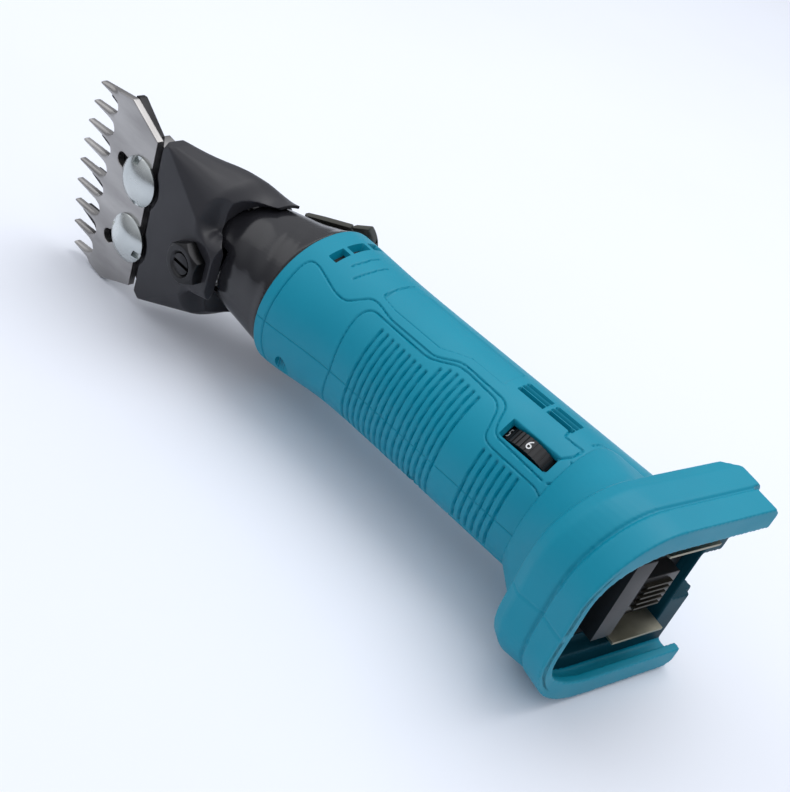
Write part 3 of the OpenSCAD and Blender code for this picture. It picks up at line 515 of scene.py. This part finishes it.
def build_foot():
    """Both halves of the foot in one piece, its seam drawn in and the bay's end wall thinned."""
    obj = copy_nodes("battery_foot", "housing_upper", "housing_lower")
    p = to_working(obj)
    p[np.abs(p[:, 2]) < 0.01, 2] = 0
    from_working(obj, p)
    recast(obj, 0.5, 4)
    p = to_working(obj)
    n, s = foot_coordinates(p)
    radius = np.hypot(p[:, 1], p[:, 2])
    # The grip's own skin is drawn in under the grip's mesh, which stands outside it.
    tube = (radius < 27.0) & (radius > 22.5) & (n < -24.2)
    inward = foot_inset(s, p[:, 2])
    shift = 5.0 * smooth_step((inward - 2.2) / 4) * (1 - smooth_step((s - 11) / 18))
    shift *= smooth_step((n + 9.2) / 0.6)
    p[:, 0] -= shift * FOOT_SLIDE[0]
    p[:, 1] -= shift * FOOT_SLIDE[1]
    scale = np.where(tube, np.minimum(1, 25.4 / np.maximum(radius, 1)), 1)
    p[:, 1] *= scale
    p[:, 2] *= scale
    seam = (np.abs(p[:, 2]) < 0.3) & (s < 30) & (n > -26)
    p[seam, 0] += 0.25 * FOOT_SLIDE[0]
    p[seam, 1] += 0.25 * FOOT_SLIDE[1]
    from_working(obj, p)
    bm = bmesh.new()
    bm.from_mesh(obj.data)
    cut = ORIGIN.x + FOOT_CUT_X * MM
    gone = [v for v in bm.verts if v.co.x < cut]
    bmesh.ops.delete(bm, geom=gone, context="VERTS")
    bm.to_mesh(obj.data)
    bm.free()
    paint(obj, "body_teal", "bay_shadow")
    p = to_working(obj)
    n, s = foot_coordinates(p)
    deep = (n < -6.0) & (n > -15) & (foot_inset(s, p[:, 2]) > 4.4)
    for face in obj.data.polygons:
        face.material_index = 1 if all(deep[i] for i in face.vertices) else 0
    shade_smooth(obj)
    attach(obj, "tool")
    return obj


foot = build_foot()
for shell in (grip_upper, grip_lower, foot):
    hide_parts("housing_upper", "housing_lower")


# ---------------------------------------------------------------- neck and head
def neck_axes(p):
    """The points along the neck's axis u, towards its top v, and across z."""
    u = p[:, 0] * math.cos(NECK_TILT) + (p[:, 1] - NECK_Y) * math.sin(NECK_TILT)
    v = -p[:, 0] * math.sin(NECK_TILT) + (p[:, 1] - NECK_Y) * math.cos(NECK_TILT)
    return u, v


def from_neck_axes(p, u, v):
    """Sets the points' x and y from the neck's axes."""
    p[:, 0] = u * math.cos(NECK_TILT) - v * math.sin(NECK_TILT)
    p[:, 1] = NECK_Y + u * math.sin(NECK_TILT) + v * math.cos(NECK_TILT)


def neck_radius(u):
    """The solid neck's outer radius along its axis."""
    return np.interp(u, *NECK_LINE)


def build_neck():
    """The glossy neck, lowered on its top side like the collar and slightly rippled."""
    obj = copy_nodes("neck_moulding", "neck_cover")
    recast(obj, 0.45, 4)
    p = to_working(obj)
    u, v = neck_axes(p)
    radius = np.hypot(v, p[:, 2])
    angle = np.degrees(np.arctan2(p[:, 2], -v))
    outer = radius > neck_radius(u) - 1.2
    fade = smooth_step((p[:, 0] + 37) / 5) * smooth_step((-1.0 - p[:, 0]) / 4)
    # Ripples round the neck, then a fold, a hollow behind it and a finer ripple on the lit side
    swell = 0.10 * np.sin(np.radians(angle * 3 + 40)) * np.cos(u * 0.22 + angle * 0.03)
    swell += 0.35 * bell(u + 9 + 0.08 * (angle - 50), 2.2) * bell(angle - 50, 30)
    swell -= 0.30 * bell(u + 14 + 0.05 * (angle - 50), 1.8) * bell(angle - 60, 22)
    swell += 0.12 * np.sin(u * 0.75 + np.radians(angle * 4)) * bell(angle - 45, 40)
    push = np.where(outer, (swell - 0.3) * fade, 0)
    lowered = collar_drop(angle) * smooth_step((u + 30) / 22)
    new = np.where(radius > 14, radius + push - lowered * smooth_step((radius - 14) / 8), radius)
    grow = new / np.maximum(radius, 1)
    p[:, 2] *= grow
    from_neck_axes(p, u, v * grow)
    from_working(obj, p)
    paint(obj, "neck_black")
    shade_smooth(obj)
    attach(obj, "tool")
    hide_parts("neck_cover")


def build_head():
    """The cast head, its two arched openings drawn down on to the neck to end in a rolled rim."""
    obj = copy_nodes("head_cast", "head_casting")
    recast(obj, 0.36, 3)
    p = to_working(obj)
    u, v = neck_axes(p)
    radius = np.hypot(v, p[:, 2])
    a = math.radians(ARCH_ANGLE)
    for side in (-1, 1):
        z = p[:, 2] * side
        outward = -v * math.cos(a) + z * math.sin(a)
        across = v * math.sin(a) + z * math.cos(a)
        # Distance outside the arch: a half circle in front of ARCH_U and straight sides behind it
        away = np.where(u < ARCH_U, np.hypot(u - ARCH_U, across), np.abs(across)) - ARCH_R
        near = smooth_step((outward - 6) / 4)
        lower = smooth_step(1 - away / 9) * smooth_step((across + 2) / 7) * near
        lower *= smooth_step((u + 39) / 6) * smooth_step((-19 - u) / 6 + 0.6)
        turn = np.where(z > 0, -math.radians(ARCH_LOWERED) * lower, 0)
        angle = np.arctan2(z, -v) + turn
        tail = smooth_step(1 - (CHEEK_REAR - p[:, 0]) / 12) * smooth_step((z - 10) / 6)
        arch = smooth_step(1 - away / 7) * smooth_step((across + 7) / 9) * near
        draw = np.maximum(arch, 0.85 * tail)
        target = neck_radius(u) + 1.2 + 0.8 * bell(away, 1.3)
        outer = (radius > target) & (z > 0)
        new = np.where(outer, radius + (target - radius) * draw, radius)
        v = np.where(z > 0, -new * np.cos(angle), v)
        p[:, 2] = np.where(z > 0, side * new * np.sin(angle), p[:, 2])
        radius = np.where(z > 0, new, radius)
    from_neck_axes(p, u, v)
    # The cheeks swell out where the hood meets the flat pad.
    swell = 2.0 * bell(p[:, 0] + 40, 12) * smooth_step((p[:, 1] + 24) / 16)
    swell *= smooth_step((np.abs(p[:, 2]) - 14) / 8)
    p[:, 2] += np.sign(p[:, 2]) * swell
    from_working(obj, p)
    paint(obj, "head_grey")
    shade_smooth(obj)
    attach(obj, "tool")
    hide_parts("head_casting")


build_neck()
build_head()


def build_seal():
    """The rubber ring between neck and collar, following the collar's rim."""
    obj = copy_nodes("seal_ring", "neck_seal")
    p = to_working(obj)
    radius = np.hypot(p[:, 1], p[:, 2])
    angle = np.degrees(np.arctan2(p[:, 2], -p[:, 1]))
    grow = (radius - collar_drop(angle) - 0.35) / radius
    p[:, 1] *= grow
    p[:, 2] *= grow
    from_working(obj, p)
    paint(obj, "seal_rubber")
    shade_smooth(obj, 40)
    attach(obj, "tool")
    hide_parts("neck_seal")


build_seal()


# ---------------------------------------------------------------- comb
def build_comb():
    """The comb with its teeth crowned and hollow-ground on the underside."""
    obj = copy_nodes("comb_ground", "comb")
    recast(obj, 0.24, 2)
    p = to_working(obj)
    tooth = np.round(p[:, 2] / TOOTH_PITCH)
    tooth = np.clip(tooth, -TEETH_EACH_SIDE, TEETH_EACH_SIDE) * TOOTH_PITCH
    tip = -COMB_REACH + TIP_CURVE * (tooth / (TEETH_EACH_SIDE * TOOTH_PITCH)) ** 2
    along = np.clip((p[:, 0] - tip) / (TOOTH_ROOT_X - tip), 0, 1.25)
    half = 0.75 + 1.15 * np.minimum(along, 1)
    across = p[:, 2] - tooth
    edge = np.clip(np.abs(across) / half, 0, 1)
    under = np.clip((-COMB_DROP + HOLLOW_HEIGHT - p[:, 1]) / HOLLOW_HEIGHT, 0, 1)
    inside = np.clip((TOOTH_ROOT_X + 2.2 - p[:, 0]) / 4.0, 0, 1)
    lift = (1.1 * edge ** 2 - 0.15 * (1 - edge)) * under * inside
    p[:, 1] += lift
    from_working(obj, p)
    paint(obj, "comb_steel")
    shade_smooth(obj, 60)
    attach(obj, "tool")
    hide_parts("comb")


build_comb()

# CAD nodes shown with their edges broken: node, width of the bevel, body
BROKEN_EDGES = (
    ("cutter", 0.25, "swing"), ("comb_screws", 0.3, "tool"), ("lock_nut", 0.35, "tool"),
    ("centre_post", 0.2, "tool"), ("power_slider", 0.5, "slider"),
    ("tension_knob", 0.5, "tension"), ("terminal_block", 0.5, "tool"),
    ("power_blades", 0.2, "tool"), ("fork", 0.5, "swing"), ("claws", 0.3, "swing"))
for node, width, body in BROKEN_EDGES:
    bevelled(node, width, body)


def build_guard():
    """The fixed rear segment behind the slider, rounded and drawn in towards its front end."""
    obj = bevelled("slider_guard", 0.8, "tool", 3)
    p = to_working(obj)
    p[:, 0] += GUARD_SHORTENED * (p[:, 0].min() - p[:, 0])
    from_working(obj, p)


build_guard()


# ---------------------------------------------------------------- dial numbers
def build_numbers():
    """Numbers 1 to 6 round the dial's rim, 6 at rest."""
    a = math.radians(DIAL_ANGLE)
    low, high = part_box("speed_dial")
    centre = (low + high) / 2
    outward = Vector((0, -math.cos(a), math.sin(a)))
    axis = Vector((0, math.sin(a), math.cos(a)))
    radius = (high.x - low.x) / 2
    for number in range(1, 7):
        turn = math.radians((number - 6) * DIGIT_STEP)
        out = Matrix.Rotation(turn, 3, axis) @ outward
        curve = bpy.data.curves.new("dial_number_%d" % number, "FONT")
        curve.body = str(number)
        curve.size = DIGIT_SIZE * MM
        curve.extrude = DIGIT_HEIGHT * MM
        curve.align_x = "CENTER"
        curve.align_y = "CENTER"
        text = bpy.data.objects.new("dial_number_%d_source" % number, curve)
        bpy.context.scene.collection.objects.link(text)
        bpy.context.view_layer.update()
        graph = bpy.context.evaluated_depsgraph_get()
        mesh = bpy.data.meshes.new_from_object(text.evaluated_get(graph))
        bpy.data.objects.remove(text)
        obj = bpy.data.objects.new("dial_number_%d" % number, mesh)
        bpy.context.scene.collection.objects.link(obj)
        turned = Matrix((axis.cross(out), axis, out)).transposed()
        spot = centre + out * (radius + DIGIT_GAP * MM)
        obj.matrix_world = Matrix.Translation(spot) @ turned.to_4x4()
        mesh.transform(obj.matrix_world)
        obj.matrix_world = Matrix.Identity(4)
        paint(obj, "white_ink")
        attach(obj, "dial")


build_numbers()


# ---------------------------------------------------------------- floor, light, camera
FLOOR_HALF, FLOOR_Z = 6.0, -0.0002
FLOOR_COLOR = (0.80, 0.83, 0.90)
# The studio's light from low down and from above: position on the ramp and colour
STUDIO_LIGHT = ((0.05, (0.22, 0.225, 0.24, 1)), (0.85, (0.93, 0.95, 1.0, 1)))
STUDIO_STRENGTH = 1.02
LIGHT_TARGET = (0, 0, 0.03)
LENS = 51.7
CAMERA_AT = (215.94, -281.22, 226.54)       # working millimetres
CAMERA_RIGHT = (0.6797, 0.6668, 0.3055)
CAMERA_BACK = (0.4165, -0.6937, 0.5876)


def build_floor():
    half = FLOOR_HALF
    corners = [(-half, -half), (half, -half), (half, half), (-half, half)]
    floor = new_object("floor", [(*corner, FLOOR_Z) for corner in corners], [(0, 1, 2, 3)])
    material = new_material("pale_floor", FLOOR_COLOR, 0.7)
    tone(material, 3, (0.79, 0.82, 0.885), (0.81, 0.84, 0.91))
    floor.data.materials.append(material)


def build_world():
    """Soft light from all round, brighter from above."""
    world = bpy.data.worlds.new("studio")
    world.use_nodes = True
    tree = world.node_tree
    background = tree.nodes["Background"]
    coord = tree.nodes.new("ShaderNodeTexCoord")
    split = tree.nodes.new("ShaderNodeSeparateXYZ")
    sky = tree.nodes.new("ShaderNodeValToRGB")
    for element, (position, color) in zip(sky.color_ramp.elements, STUDIO_LIGHT):
        element.position = position
        element.color = color
    tree.links.new(coord.outputs["Generated"], split.inputs["Vector"])
    tree.links.new(split.outputs["Z"], sky.inputs["Fac"])
    tree.links.new(sky.outputs["Color"], background.inputs["Color"])
    background.inputs["Strength"].default_value = STUDIO_STRENGTH
    bpy.context.scene.world = world


def area_light(name, at, size, power):
    """A round lamp aimed at the object."""
    light = bpy.data.lights.new(name, "AREA")
    light.shape = "DISK"
    light.size = size
    light.energy = power
    obj = bpy.data.objects.new(name, light)
    obj.location = at
    aim = Vector(LIGHT_TARGET) - Vector(at)
    obj.rotation_euler = aim.to_track_quat("-Z", "Y").to_euler()
    bpy.context.scene.collection.objects.link(obj)


def build_camera():
    """Camera at the photograph's viewing angle."""
    data = bpy.data.cameras.new("camera")
    data.sensor_width = 36
    data.lens = LENS
    data.clip_start = 0.02
    camera = bpy.data.objects.new("camera", data)
    right = Vector(CAMERA_RIGHT).normalized()
    back = Vector(CAMERA_BACK).normalized()
    up = back.cross(right).normalized()
    turned = Matrix((right, up, back)).transposed()
    camera.matrix_world = Matrix.Translation(place(*CAMERA_AT)) @ turned.to_4x4()
    bpy.context.scene.collection.objects.link(camera)
    bpy.context.scene.camera = camera


build_floor()
build_world()
area_light("window", (0.05, 0.42, 1.2), 1.1, 7)
area_light("fill", (-0.8, -0.2, 0.8), 0.9, 1.2)
build_camera()
bpy.context.scene.view_settings.view_transform = "Standard"
